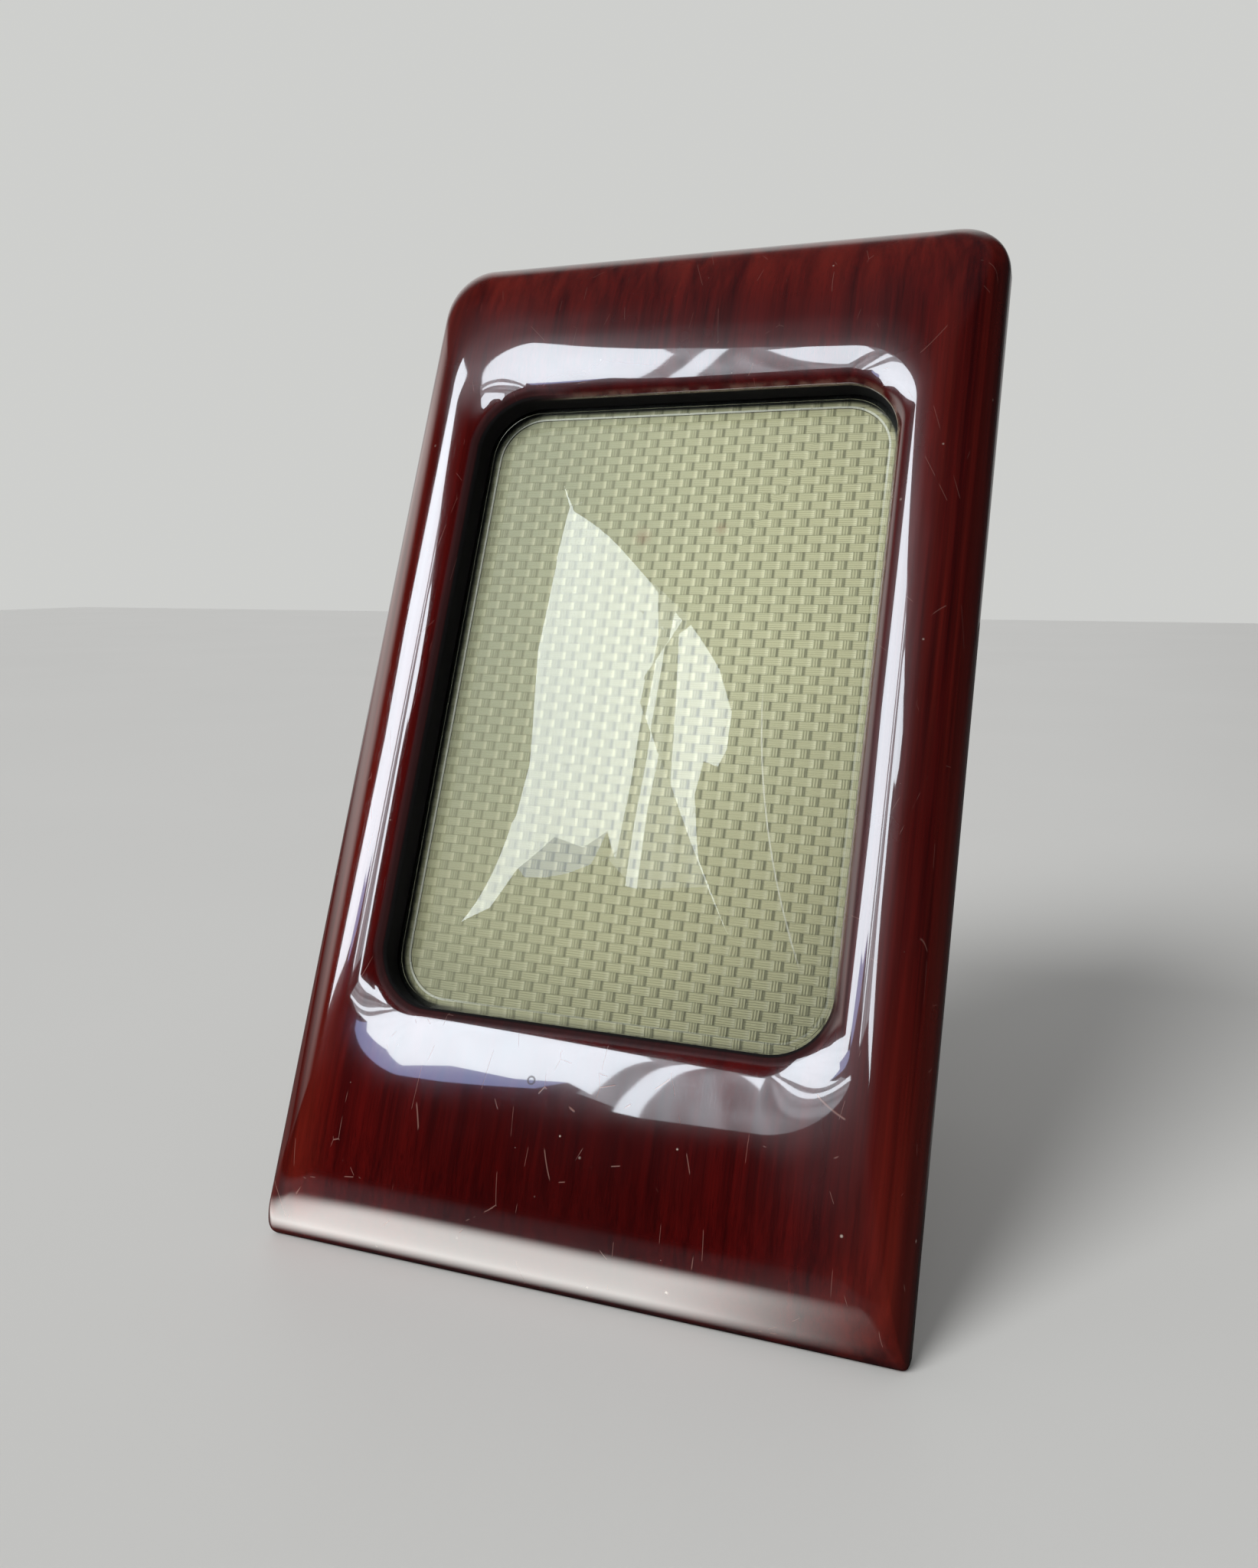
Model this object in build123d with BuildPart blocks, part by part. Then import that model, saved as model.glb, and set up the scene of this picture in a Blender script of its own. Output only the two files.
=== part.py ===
from build123d import *
import os
from math import cos, radians, sin, tan

# A desk frame for one upright photograph: a moulded board with a domed glass, a lining sheet,
# a back panel kept in by four turn buttons, and a hinged leg. Millimetres, +Z up. The frame
# stands on the plane Z = 0, faces -Y and leans back; the origin is the middle of its base.

# Board
frame_width = 116.0
frame_height = 200.0
lean_angle = 23.8
crest_height = 13.0
side_margin = 16.3
top_margin = 34.2
bottom_margin = 44.0
window_corner_radius = 10.6
base_reach = 4.6
back_chamfer = 0.7

# The moulding's section, from the outer edge (0) to the window (1) and just past it, so that
# the window's wall cuts the surface clean. Every side has the same section, stretched over
# its own margin. Rise shares are parts of the crest height, corner shares are parts of the
# window's corner radius: the outer corners are round at the top and nearly sharp at the foot.
section_shares = (0.0, 0.015, 0.045, 0.10, 0.18, 0.30, 0.45, 0.60, 0.70, 0.80, 0.90, 0.96, 1.0, 1.03)
rise_shares = (0.29, 0.45, 0.585, 0.73, 0.845, 0.93, 0.985, 1.0, 0.991, 0.965, 0.915, 0.86, 0.79, 0.72)
top_corner_shares = (0.8, 0.82, 0.86, 0.95, 1.08, 1.22, 1.35, 1.38, 1.32, 1.22, 1.12, 1.04, 1.0, 0.98)
foot_corner_shares = (0.1, 0.1, 0.12, 0.18, 0.32, 0.6, 0.95, 1.2, 1.25, 1.2, 1.1, 1.04, 1.0, 0.98)
section_steps = 22

# Rebate behind the window
rebate_depth = 6.4
rebate_width = 4.0
rebate_corner_radius = 7.0
rebate_clearance = 0.3

# Glass: flat rim, raised middle
glass_thickness = 2.0
dome_rise = 5.6
dome_inset = 1.1
dome_inner_inset = 2.6
dome_foot_step = 0.3
dome_end_angle = 20.0

# Lining sheet and back panel
lining_thickness = 0.4
panel_edge_chamfer = 0.6

# Turn buttons
button_length = 17.0
button_width = 7.0
button_thickness = 0.9
button_edge_chamfer = 0.2
button_setback = 6.0
button_spread_share = 0.51
button_hole_radius = 1.3
button_screw_radius = 1.25
button_screw_depth = 7.5
button_head_radius = 2.4
button_head_height = 1.3
button_head_bevel = 0.55
button_slot_width = 0.6
button_slot_depth = 0.6

# Leg and its hinge
open_angle = 40.0
pin_height_share = 0.27
pin_standoff = 1.6
pin_radius = 0.65
pin_clearance = 0.05
pin_head_radius = 1.15
pin_head_length = 0.5
pin_head_bevel = 0.3
knuckle_radius = 1.2
knuckle_gap = 0.3
leaf_width = 24.0
leaf_length = 12.0
leaf_thickness = 0.8
middle_knuckle_length = 8.4
leaf_screw_spacing = 15.0
leaf_screw_along = 7.4
leaf_screw_radius = 1.0
leaf_screw_head_radius = 1.9
panel_screw_depth = 2.9
leg_screw_depth = 4.4
leaf_slot_width = 0.5
leaf_slot_depth = 0.4
leg_thickness = 6.0
leg_top_width = 27.0
leg_foot_width = 52.0
leg_edge_chamfer = 0.5
bevel_clearance = 0.05
fit_clearance = 0.03
overrun = 5.0

# Directions of the leaning board: along its face, and out of its front
lean = radians(lean_angle)
along_y = sin(lean)
along_z = cos(lean)
base_depth = base_reach / cos(lean)
foot_y = base_depth / 2 - base_reach * tan(lean) * sin(lean)
foot_z = -base_reach * sin(lean)


def board_point(across, along, out):
    y = foot_y + along * along_y - out * along_z
    z = foot_z + along * along_z + out * along_y
    return (across, y, z)


def front_plane(across, along, out):
    return Plane(origin=board_point(across, along, out), x_dir=(1, 0, 0), z_dir=(0, -along_z, along_y))


def rear_plane(across, along, out):
    return Plane(origin=board_point(across, along, out), x_dir=(-1, 0, 0), z_dir=(0, along_z, -along_y))


out_axis = Axis((0, 0, 0), (0, -along_z, along_y))

window_width = frame_width - 2 * side_margin
window_height = frame_height - top_margin - bottom_margin
window_middle = bottom_margin + window_height / 2
rebate_opening_width = window_width + 2 * rebate_width
rebate_opening_height = window_height + 2 * rebate_width
button_pivot_across = rebate_opening_width / 2 + button_setback
button_low = window_middle - rebate_opening_height * button_spread_share / 2
button_high = window_middle + rebate_opening_height * button_spread_share / 2
pin_along = window_middle + rebate_opening_height * pin_height_share


def read_share(shares, position):
    # Straight-line reading of a table that goes with the section shares
    for low in range(len(section_shares) - 2):
        if position < section_shares[low + 1]:
            break
    step = section_shares[low + 1] - section_shares[low]
    return shares[low] + (shares[low + 1] - shares[low]) * (position - section_shares[low]) / step


with BuildLine() as section_line:
    section_curve = Spline(*zip(section_shares, rise_shares))

# Board with its moulding: rings of the section, from the outer wall up over the crest and
# down into the window
with BuildPart() as wood_frame:
    for step in range(section_steps + 1):
        section_point = section_curve.position_at(step / section_steps)
        section_share = section_point.X
        top_share = read_share(top_corner_shares, section_share)
        foot_share = read_share(foot_corner_shares, section_share)
        ring_width = frame_width - 2 * side_margin * section_share
        ring_height = frame_height - (top_margin + bottom_margin) * section_share
        ring_middle = (bottom_margin * section_share + frame_height - top_margin * section_share) / 2
        with BuildSketch(front_plane(0, ring_middle, crest_height * section_point.Y)) as ring:
            Rectangle(ring_width, ring_height)
            fillet(ring.vertices().group_by(Axis.Y)[-1], radius=window_corner_radius * top_share)
            fillet(ring.vertices().group_by(Axis.Y)[0], radius=window_corner_radius * foot_share)
    loft(ruled=True)
    # Straight outer wall behind the moulding
    with BuildSketch(front_plane(0, frame_height / 2, 0)) as outline:
        Rectangle(frame_width, frame_height)
        fillet(outline.vertices().group_by(Axis.Y)[-1], radius=window_corner_radius * top_corner_shares[0])
        fillet(outline.vertices().group_by(Axis.Y)[0], radius=window_corner_radius * foot_corner_shares[0])
    extrude(amount=crest_height * rise_shares[0])
    chamfer(wood_frame.faces().sort_by(out_axis)[0].edges(), length=back_chamfer)
    # Window through the board
    with BuildSketch(front_plane(0, window_middle, -overrun)):
        RectangleRounded(window_width, window_height, window_corner_radius)
    extrude(amount=crest_height + 2 * overrun, mode=Mode.SUBTRACT)
    # Rebate that takes glass, sheet and panel from behind
    with BuildSketch(front_plane(0, window_middle, -overrun)):
        RectangleRounded(rebate_opening_width, rebate_opening_height, rebate_corner_radius)
    extrude(amount=rebate_depth + overrun, mode=Mode.SUBTRACT)
    # Pilot holes for the turn buttons' screws
    with Locations(
        rear_plane(button_pivot_across, button_low, 0),
        rear_plane(-button_pivot_across, button_low, 0),
        rear_plane(button_pivot_across, button_high, 0),
        rear_plane(-button_pivot_across, button_high, 0),
    ):
        Hole(button_screw_radius + fit_clearance, depth=button_screw_depth + button_thickness)
    # The foot is cut level, so that the board leans back on a flat base
    split(bisect_by=Plane.XY, keep=Keep.TOP)
wood_frame.part.label = "wood_frame"

# Domed glass: a flat rim under the rebate's shoulder and a dome, bowed across its whole width,
# level along its middle and rolled down at both ends
glass_width = rebate_opening_width - 2 * rebate_clearance
glass_height = rebate_opening_height - 2 * rebate_clearance
glass_corner_radius = rebate_corner_radius - rebate_clearance
rim_front = rebate_depth
rim_back = rebate_depth - glass_thickness


def make_dome(inset, base):
    half_width = window_width / 2 - inset
    half_length = window_height / 2 - inset
    bow_height = dome_rise - dome_foot_step
    bow_radius = (half_width**2 + bow_height**2) / (2 * bow_height)
    end_radius = bow_height / (1 - cos(radians(dome_end_angle)))
    level_length = 2 * half_length - 2 * end_radius * sin(radians(dome_end_angle))
    with BuildPart() as dome:
        with BuildSketch(front_plane(0, window_middle, base)):
            RectangleRounded(2 * half_width, 2 * half_length, window_corner_radius - inset)
        extrude(amount=dome_rise)
        # Bowed across the width
        bow_centre = board_point(0, window_middle, base + dome_rise - bow_radius)
        with BuildSketch(Plane(origin=bow_centre, x_dir=(1, 0, 0), z_dir=(0, along_y, along_z))):
            Circle(bow_radius)
        extrude(amount=half_length + overrun, both=True, mode=Mode.INTERSECT)
        # Rolled down at both ends
        roll_centre = board_point(0, window_middle, base + dome_rise - end_radius)
        with BuildSketch(Plane(origin=roll_centre, x_dir=(0, along_y, along_z), z_dir=(1, 0, 0))):
            SlotCenterToCenter(level_length, 2 * end_radius)
        extrude(amount=half_width + overrun, both=True, mode=Mode.INTERSECT)
    return dome.part


outer_dome = make_dome(dome_inset, rim_front)
inner_dome = make_dome(dome_inner_inset, rim_back)
with BuildPart() as domed_glass:
    with BuildSketch(front_plane(0, window_middle, rim_back)):
        RectangleRounded(glass_width, glass_height, glass_corner_radius)
    extrude(amount=glass_thickness)
    add(outer_dome)
    add(inner_dome, mode=Mode.SUBTRACT)
domed_glass.part.label = "domed_glass"

# Lining sheet behind the glass
lining_back = rim_back - lining_thickness
with BuildPart() as lining_sheet:
    with BuildSketch(front_plane(0, window_middle, lining_back)):
        RectangleRounded(glass_width, glass_height, glass_corner_radius)
    extrude(amount=lining_thickness)
lining_sheet.part.label = "lining_sheet"

# Back panel, level with the back of the board
with BuildPart() as back_panel:
    with BuildSketch(front_plane(0, window_middle, 0)):
        RectangleRounded(glass_width, glass_height, glass_corner_radius)
    extrude(amount=lining_back)
    chamfer(back_panel.faces().sort_by(out_axis)[0].edges(), length=panel_edge_chamfer)
    with Locations(rear_plane(0, pin_along - leaf_screw_along, 0)):
        with GridLocations(leaf_screw_spacing, 1, 2, 1):
            Hole(leaf_screw_radius + fit_clearance, depth=panel_screw_depth)
back_panel.part.label = "back_panel"


def make_button(name, side, along):
    # A flat brass tongue that turns about a screw near its outer end
    reach = button_length / 2 - button_width / 2
    with BuildPart() as button:
        with BuildSketch(rear_plane(side * (button_pivot_across - reach), along, 0)):
            SlotOverall(button_length, button_width)
        extrude(amount=button_thickness)
        chamfer(button.faces().sort_by(out_axis)[0].edges(), length=button_edge_chamfer)
        with Locations(rear_plane(side * button_pivot_across, along, -button_thickness)):
            Hole(button_hole_radius, depth=button_thickness + overrun)
    button.part.label = name
    return button


turn_button_upper_left = make_button("turn_button_upper_left", -1, button_high)
turn_button_upper_right = make_button("turn_button_upper_right", 1, button_high)
turn_button_lower_left = make_button("turn_button_lower_left", -1, button_low)
turn_button_lower_right = make_button("turn_button_lower_right", 1, button_low)

# Round-head screws of the turn buttons
with BuildPart() as turn_button_screws:
    for along in (button_low, button_high):
        for side in (-1, 1):
            with BuildSketch(rear_plane(side * button_pivot_across, along, -button_thickness)):
                Circle(button_screw_radius)
            extrude(amount=-button_screw_depth)
            with BuildSketch(rear_plane(side * button_pivot_across, along, -button_thickness)):
                Circle(button_head_radius)
            extrude(amount=button_head_height)
    head_tops = turn_button_screws.faces().group_by(out_axis)[0]
    chamfer(head_tops.edges(), length=button_head_bevel)
    for along in (button_low, button_high):
        for side in (-1, 1):
            slot_floor = -button_thickness - button_head_height + button_slot_depth
            with BuildSketch(rear_plane(side * button_pivot_across, along, slot_floor)):
                Rectangle(2 * button_head_radius + overrun, button_slot_width, rotation=35 * side + along)
            extrude(amount=overrun, mode=Mode.SUBTRACT)
turn_button_screws.part.label = "turn_button_screws"

# Hinge, on the back of the panel. The leg's own directions: up along the leg, and out of
# its rear face
swing = radians(open_angle) - lean
pin_point = board_point(0, pin_along, -pin_standoff)


def leg_plane(across, up, rear):
    y = pin_point[1] - up * sin(swing) + rear * cos(swing)
    z = pin_point[2] + up * cos(swing) + rear * sin(swing)
    return Plane(origin=(across, y, z), x_dir=(-1, 0, 0), z_dir=(0, cos(swing), sin(swing)))


rear_axis = Axis((0, 0, 0), (0, cos(swing), sin(swing)))
outer_knuckle_length = (leaf_width - middle_knuckle_length) / 2 - knuckle_gap
outer_knuckle_middle = leaf_width / 2 - outer_knuckle_length / 2


def side_plane(across):
    return Plane(origin=(across, pin_point[1], pin_point[2]), x_dir=(0, 1, 0), z_dir=(1, 0, 0))


with BuildPart() as hinge_panel_leaf:
    with BuildSketch(rear_plane(0, pin_along - leaf_length / 2, 0)):
        Rectangle(leaf_width, leaf_length)
    extrude(amount=leaf_thickness)
    # Room for the other leaf's knuckle
    with BuildSketch(side_plane(-middle_knuckle_length / 2 - knuckle_gap)):
        Circle(knuckle_radius + knuckle_gap)
    extrude(amount=middle_knuckle_length + 2 * knuckle_gap, mode=Mode.SUBTRACT)
    for side in (-1, 1):
        with BuildSketch(side_plane(side * outer_knuckle_middle - outer_knuckle_length / 2)):
            Circle(knuckle_radius)
        extrude(amount=outer_knuckle_length)
    with BuildSketch(side_plane(-leaf_width)):
        Circle(pin_radius + pin_clearance)
    extrude(amount=2 * leaf_width, mode=Mode.SUBTRACT)
    with Locations(rear_plane(0, pin_along - leaf_screw_along, -leaf_thickness)):
        with GridLocations(leaf_screw_spacing, 1, 2, 1):
            CounterSinkHole(leaf_screw_radius + fit_clearance, leaf_screw_head_radius + fit_clearance)
hinge_panel_leaf.part.label = "hinge_panel_leaf"

with BuildPart() as hinge_strut_leaf:
    with BuildSketch(leg_plane(0, -leaf_length / 2, pin_standoff - leaf_thickness)):
        Rectangle(leaf_width, leaf_length)
    extrude(amount=leaf_thickness)
    # Room for the first leaf's knuckles
    for side in (-1, 1):
        with BuildSketch(side_plane(side * outer_knuckle_middle - outer_knuckle_length / 2 - knuckle_gap)):
            Circle(knuckle_radius + knuckle_gap)
        extrude(amount=outer_knuckle_length + 2 * knuckle_gap, mode=Mode.SUBTRACT)
    with BuildSketch(side_plane(-middle_knuckle_length / 2)):
        Circle(knuckle_radius)
    extrude(amount=middle_knuckle_length)
    with BuildSketch(side_plane(-leaf_width)):
        Circle(pin_radius + pin_clearance)
    extrude(amount=2 * leaf_width, mode=Mode.SUBTRACT)
    leaf_face = leg_plane(0, -leaf_screw_along, pin_standoff - leaf_thickness)
    with Locations(Plane(origin=leaf_face.origin, x_dir=(1, 0, 0), z_dir=-leaf_face.z_dir)):
        with GridLocations(leaf_screw_spacing, 1, 2, 1):
            CounterSinkHole(leaf_screw_radius + fit_clearance, leaf_screw_head_radius + fit_clearance)
hinge_strut_leaf.part.label = "hinge_strut_leaf"

with BuildPart() as hinge_pin:
    with BuildSketch(side_plane(-leaf_width / 2 - pin_clearance)):
        Circle(pin_radius)
    extrude(amount=leaf_width + 2 * pin_clearance)
    for start in (-leaf_width / 2 - pin_clearance - pin_head_length, leaf_width / 2 + pin_clearance):
        with BuildSketch(side_plane(start)):
            Circle(pin_head_radius)
        extrude(amount=pin_head_length)
    pin_ends = [hinge_pin.faces().sort_by(Axis.X)[0], hinge_pin.faces().sort_by(Axis.X)[-1]]
    chamfer([edge for face in pin_ends for edge in face.edges()], length=pin_head_bevel)
hinge_pin.part.label = "hinge_pin"


def make_leaf_screws(name, plane, depth):
    # Two countersunk screws, heads level with the leaf
    with BuildPart() as screws:
        for side in (-1, 1):
            centre = plane.from_local_coords((side * leaf_screw_spacing / 2, 0, 0))
            head_plane = Plane(origin=centre, x_dir=plane.x_dir, z_dir=plane.z_dir)
            with BuildSketch(head_plane):
                Circle(leaf_screw_head_radius)
            with BuildSketch(head_plane.offset(-leaf_thickness)):
                Circle(leaf_screw_radius)
            loft()
            with BuildSketch(head_plane.offset(-leaf_thickness)):
                Circle(leaf_screw_radius)
            extrude(amount=fit_clearance - depth)
            with BuildSketch(head_plane.offset(-leaf_slot_depth)):
                Rectangle(2 * leaf_screw_head_radius + overrun, leaf_slot_width, rotation=50 * side)
            extrude(amount=overrun, mode=Mode.SUBTRACT)
    screws.part.label = name
    return screws


panel_screw_plane = rear_plane(0, pin_along - leaf_screw_along, -leaf_thickness)
panel_leaf_screws = make_leaf_screws("panel_leaf_screws", panel_screw_plane, panel_screw_depth)
strut_screw_plane = Plane(origin=leaf_face.origin, x_dir=(1, 0, 0), z_dir=-leaf_face.z_dir)
strut_leaf_screws = make_leaf_screws("strut_leaf_screws", strut_screw_plane, leg_screw_depth)

# Lengths of the leg: past the bevel at its head, and past the ground at its foot
leg_rear = pin_standoff + leg_thickness
leg_top_reach = (pin_standoff + leg_rear * cos(radians(open_angle))) / sin(radians(open_angle)) + overrun
leg_foot_reach = pin_point[2] / cos(swing) + leg_rear * tan(swing) + overrun

# Hinged leg. Its bevelled head lies against the panel when the leg is open and stops it
# there, and its foot is cut level with the base
with BuildPart() as easel_strut:
    with BuildSketch(leg_plane(0, 0, pin_standoff)):
        with BuildLine():
            Polyline(
                (-leg_top_width / 2, leg_top_reach),
                (leg_top_width / 2, leg_top_reach),
                (leg_top_width / 2, -leaf_length),
                (leg_foot_width / 2, -leg_foot_reach),
                (-leg_foot_width / 2, -leg_foot_reach),
                (-leg_top_width / 2, -leaf_length),
                close=True,
            )
        make_face()
    extrude(amount=leg_thickness)
    split(bisect_by=rear_plane(0, pin_along, -bevel_clearance), keep=Keep.TOP)
    split(bisect_by=Plane.XY, keep=Keep.TOP)
    chamfer(easel_strut.faces().sort_by(rear_axis)[-1].edges(), length=leg_edge_chamfer)
    with Locations(strut_screw_plane.offset(-leaf_thickness)):
        with GridLocations(leaf_screw_spacing, 1, 2, 1):
            Hole(leaf_screw_radius + fit_clearance, depth=leg_screw_depth)
easel_strut.part.label = "easel_strut"

pieces = [
    wood_frame,
    domed_glass,
    lining_sheet,
    back_panel,
    turn_button_upper_left,
    turn_button_upper_right,
    turn_button_lower_left,
    turn_button_lower_right,
    turn_button_screws,
    hinge_panel_leaf,
    hinge_strut_leaf,
    hinge_pin,
    panel_leaf_screws,
    strut_leaf_screws,
    easel_strut,
]

os.makedirs("parts", exist_ok=True)
for piece in pieces:
    export_step(piece.part, f"parts/{piece.part.label}.step")
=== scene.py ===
import bpy
import bmesh
from math import cos, pi, radians, sin, sqrt
from mathutils import Euler, Matrix, Vector


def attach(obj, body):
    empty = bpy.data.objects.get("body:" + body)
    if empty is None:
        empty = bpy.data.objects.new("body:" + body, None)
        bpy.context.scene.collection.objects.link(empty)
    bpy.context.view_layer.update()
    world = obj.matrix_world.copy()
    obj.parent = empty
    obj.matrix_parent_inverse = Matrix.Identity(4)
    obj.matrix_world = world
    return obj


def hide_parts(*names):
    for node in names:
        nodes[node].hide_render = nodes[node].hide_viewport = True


# The dressed desk frame. Metres, in the same frame as the solids: +Z up, the board faces -Y.
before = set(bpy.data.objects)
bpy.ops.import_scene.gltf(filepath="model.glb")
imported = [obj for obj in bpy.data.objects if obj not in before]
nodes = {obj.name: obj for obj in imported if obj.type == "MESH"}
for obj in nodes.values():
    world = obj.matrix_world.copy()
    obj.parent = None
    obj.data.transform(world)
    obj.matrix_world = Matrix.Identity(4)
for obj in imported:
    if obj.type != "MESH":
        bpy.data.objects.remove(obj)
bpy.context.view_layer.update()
MM = 0.001

# Board
frame_width = 116.0
frame_height = 200.0
lean = radians(23.8)
crest_height = 13.0
side_margin = 16.3
top_margin = 34.2
bottom_margin = 44.0
window_corner_radius = 10.6
back_chamfer = 0.7
lip_bevel = 0.3
foot_y = 1.695
foot_z = -1.8563
window_width = frame_width - 2 * side_margin
window_height = frame_height - top_margin - bottom_margin
window_middle = bottom_margin + window_height / 2
rebate_depth = 6.4
rebate_width = 4.0
rebate_corner_radius = 7.0

# Columns: part of the margin, part of the crest height, and the corner radius at the top
# and at the foot as parts of the window's corner radius
moulding_table = (
    (0.0, 0.29, 0.80, 0.10),
    (0.015, 0.45, 0.82, 0.10),
    (0.045, 0.585, 0.86, 0.12),
    (0.10, 0.73, 0.95, 0.18),
    (0.18, 0.845, 1.08, 0.32),
    (0.30, 0.93, 1.22, 0.60),
    (0.45, 0.985, 1.35, 0.95),
    (0.60, 1.0, 1.38, 1.2),
    (0.70, 0.991, 1.32, 1.25),
    (0.80, 0.965, 1.22, 1.2),
    (0.90, 0.915, 1.12, 1.1),
    (0.96, 0.86, 1.04, 1.04),
    (1.0, 0.79, 1.0, 1.0),
)

section_steps = 72
lip_height = moulding_table[-1][1] * crest_height

# Glass
glass_thickness = 2.0
glass_clearance = 0.3
dome_inset = 1.1
dome_wall = 1.5
dome_rise = 5.6
dome_foot_step = 0.3
dome_across_power = 2.0
dome_along_power = 6.0
dome_foot_spread = 0.12
dome_foot_lift = 0.08
rim_fillet = 0.2

# Lining sheet: floats across the board in offset rows, ribs between them and fine threads
lining_thickness = 0.4
lining_base = 0.26
weave_pitch = 5.3
weave_row = 1.7
weave_float = 3.6
weave_relief = 0.24
weave_overlap = 3.0
rib_pitch = 0.52
thread_pitch = 0.42

# Marks of age: places are (across, along) on the board's face
dent_place = (-7.7, 34.25)
dent_radius = 0.62
stains = ((-6.0, 138.0, 2.6), (9.5, 139.5, 1.9))
crease_centre = (158.9, 117.0)
crease_radius = 137.6

# Turn buttons, hinge and leg
button_pivot_across = 51.7
button_low = 71.8
button_high = 138.0
button_thickness = 0.9
pin_along = 139.95
leaf_thickness = 0.8
leaf_screw_along = 7.4
leaf_screw_spacing = 15.0
open_angle = radians(40.0)
swing = open_angle - lean
button_head_radius = 2.4
leaf_head_radius = 1.85

board = Matrix(
    (
        (MM, 0, 0, 0),
        (0, MM * sin(lean), -MM * cos(lean), MM * foot_y),
        (0, MM * cos(lean), MM * sin(lean), MM * foot_z),
        (0, 0, 0, 1),
    )
)


# Wiring of node trees


class Field:
    """A value that varies over a piece. Sums with it place Math nodes."""

    def __init__(self, bench, socket):
        self.bench = bench
        self.socket = socket

    def __add__(self, other):
        return self.bench.math("ADD", self, other)

    __radd__ = __add__

    def __sub__(self, other):
        return self.bench.math("SUBTRACT", self, other)

    def __rsub__(self, other):
        return self.bench.math("SUBTRACT", other, self)

    def __mul__(self, other):
        return self.bench.math("MULTIPLY", self, other)

    __rmul__ = __mul__

    def __neg__(self):
        return self.bench.math("SUBTRACT", 0.0, self)

    def __truediv__(self, other):
        return self.bench.math("DIVIDE", self, other)

    def __pow__(self, other):
        return self.bench.math("POWER", self, other)

    def __mod__(self, other):
        return self.bench.math("FLOORED_MODULO", self, other)

    def floor(self):
        return self.bench.math("FLOOR", self)

    def size(self):
        return self.bench.math("ABSOLUTE", self)

    def most(self, other):
        return self.bench.math("MAXIMUM", self, other)

    def above(self, other):
        return self.bench.math("GREATER_THAN", self, other)

    def rise(self, low, high, start=0.0, end=1.0):
        """0 below low and 1 above high, with a smooth step between them."""
        return self.bench.get(
            "ShaderNodeMapRange",
            {"Value": self, "From Min": low, "From Max": high, "To Min": start, "To Max": end},
            interpolation_type="SMOOTHSTEP",
        )

    def fall(self, low, high):
        """1 below low and 0 above high, with a smooth step between them."""
        return 1.0 - self.rise(low, high)

    def coat(self, factor, tint):
        """This colour under a coat of tint where factor is 1."""
        return blend(self.bench, factor, self, tint)


class Bench:
    """Places nodes in a tree, sets their plain values and joins their sockets."""

    def __init__(self, tree):
        self.tree = tree

    def join(self, socket, value):
        if isinstance(value, Field):
            value = value.socket
        if isinstance(value, bpy.types.Node):
            value = value.outputs[0]
        if isinstance(value, bpy.types.NodeSocket):
            self.tree.links.new(value, socket)
        else:
            socket.default_value = value

    def put(self, kind, plugs=None, **settings):
        node = self.tree.nodes.new(kind)
        for name, value in settings.items():
            setattr(node, name, value)
        for name, value in (plugs or {}).items():
            sockets = [s for s in node.inputs if s.name == name]
            live = [s for s in sockets if s.enabled] or sockets
            self.join(live[0], value)
        return node

    def get(self, kind, plugs=None, **settings):
        """The first output of a new node."""
        return Field(self, self.put(kind, plugs, **settings).outputs[0])

    def fields(self, node):
        """A node's outputs by name."""
        return {socket.name: Field(self, socket) for socket in node.outputs}

    def feed(self, sockets, *values):
        for socket, value in zip(sockets, values):
            self.join(socket, value)

    def dress(self, node, **plugs):
        for name, value in plugs.items():
            self.join(node.inputs[name.replace("_", " ")], value)

    def math(self, operation, *values):
        node = self.put("ShaderNodeMath", operation=operation)
        self.feed(node.inputs, *values)
        return Field(self, node.outputs[0])

    def vector(self, x, y, z):
        return self.get("ShaderNodeCombineXYZ", {"X": x, "Y": y, "Z": z})

    def parts(self, vector):
        node = self.put("ShaderNodeSeparateXYZ", {"Vector": vector})
        return [Field(self, socket) for socket in node.outputs]

    def pick(self, switch, no, yes):
        """yes where switch is 1 and no where it is 0."""
        return no + (yes - no) * switch

    def sample(self, mesh, source, index, kind="FLOAT"):
        """The value at one point of a mesh, of an attribute's name or of a node."""
        if isinstance(source, str):
            source = self.put("GeometryNodeInputNamedAttribute", {"Name": source}, data_type=kind)
        return self.get(
            "GeometryNodeSampleIndex",
            {"Geometry": mesh, "Value": source, "Index": index},
            data_type=kind,
            domain="POINT",
        )


def new_tree(name, kind, inputs, outputs):
    """A node tree with named sockets: (tree, bench, inputs by name, output node). A socket is
    given by its starting value, or by its kind where it has none."""
    tree = bpy.data.node_groups.new(name, kind + "NodeTree")
    for direction, sockets in (("INPUT", inputs), ("OUTPUT", outputs)):
        for socket_name, value in sockets.items():
            bare = isinstance(value, str)
            socket_kind = value if bare else {float: "Float", int: "Int", tuple: "Color"}[type(value)]
            socket = tree.interface.new_socket(
                name=socket_name, in_out=direction, socket_type="NodeSocket" + socket_kind
            )
            if not bare:
                socket.default_value = value
    bench = Bench(tree)
    given = bench.fields(bench.put("NodeGroupInput"))
    return tree, bench, given, bench.put("NodeGroupOutput")


# Shapes


def new_object(name, data):
    thing = bpy.data.objects.new(name, data)
    bpy.context.scene.collection.objects.link(thing)
    return thing


def offset(bench, mesh, x=0.0, z=0.0):
    return bench.put(
        "GeometryNodeSetPosition", {"Geometry": mesh, "Offset": bench.vector(x, 0.0, z)}
    )


round_sockets = {
    "Section": "Geometry",
    "Width": 100.0,
    "Height": 100.0,
    "Side Margin": 0.0,
    "Top Margin": 0.0,
    "Bottom Margin": 0.0,
    "Corner Steps": 12,
    "Closed Section": 1,
}


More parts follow.
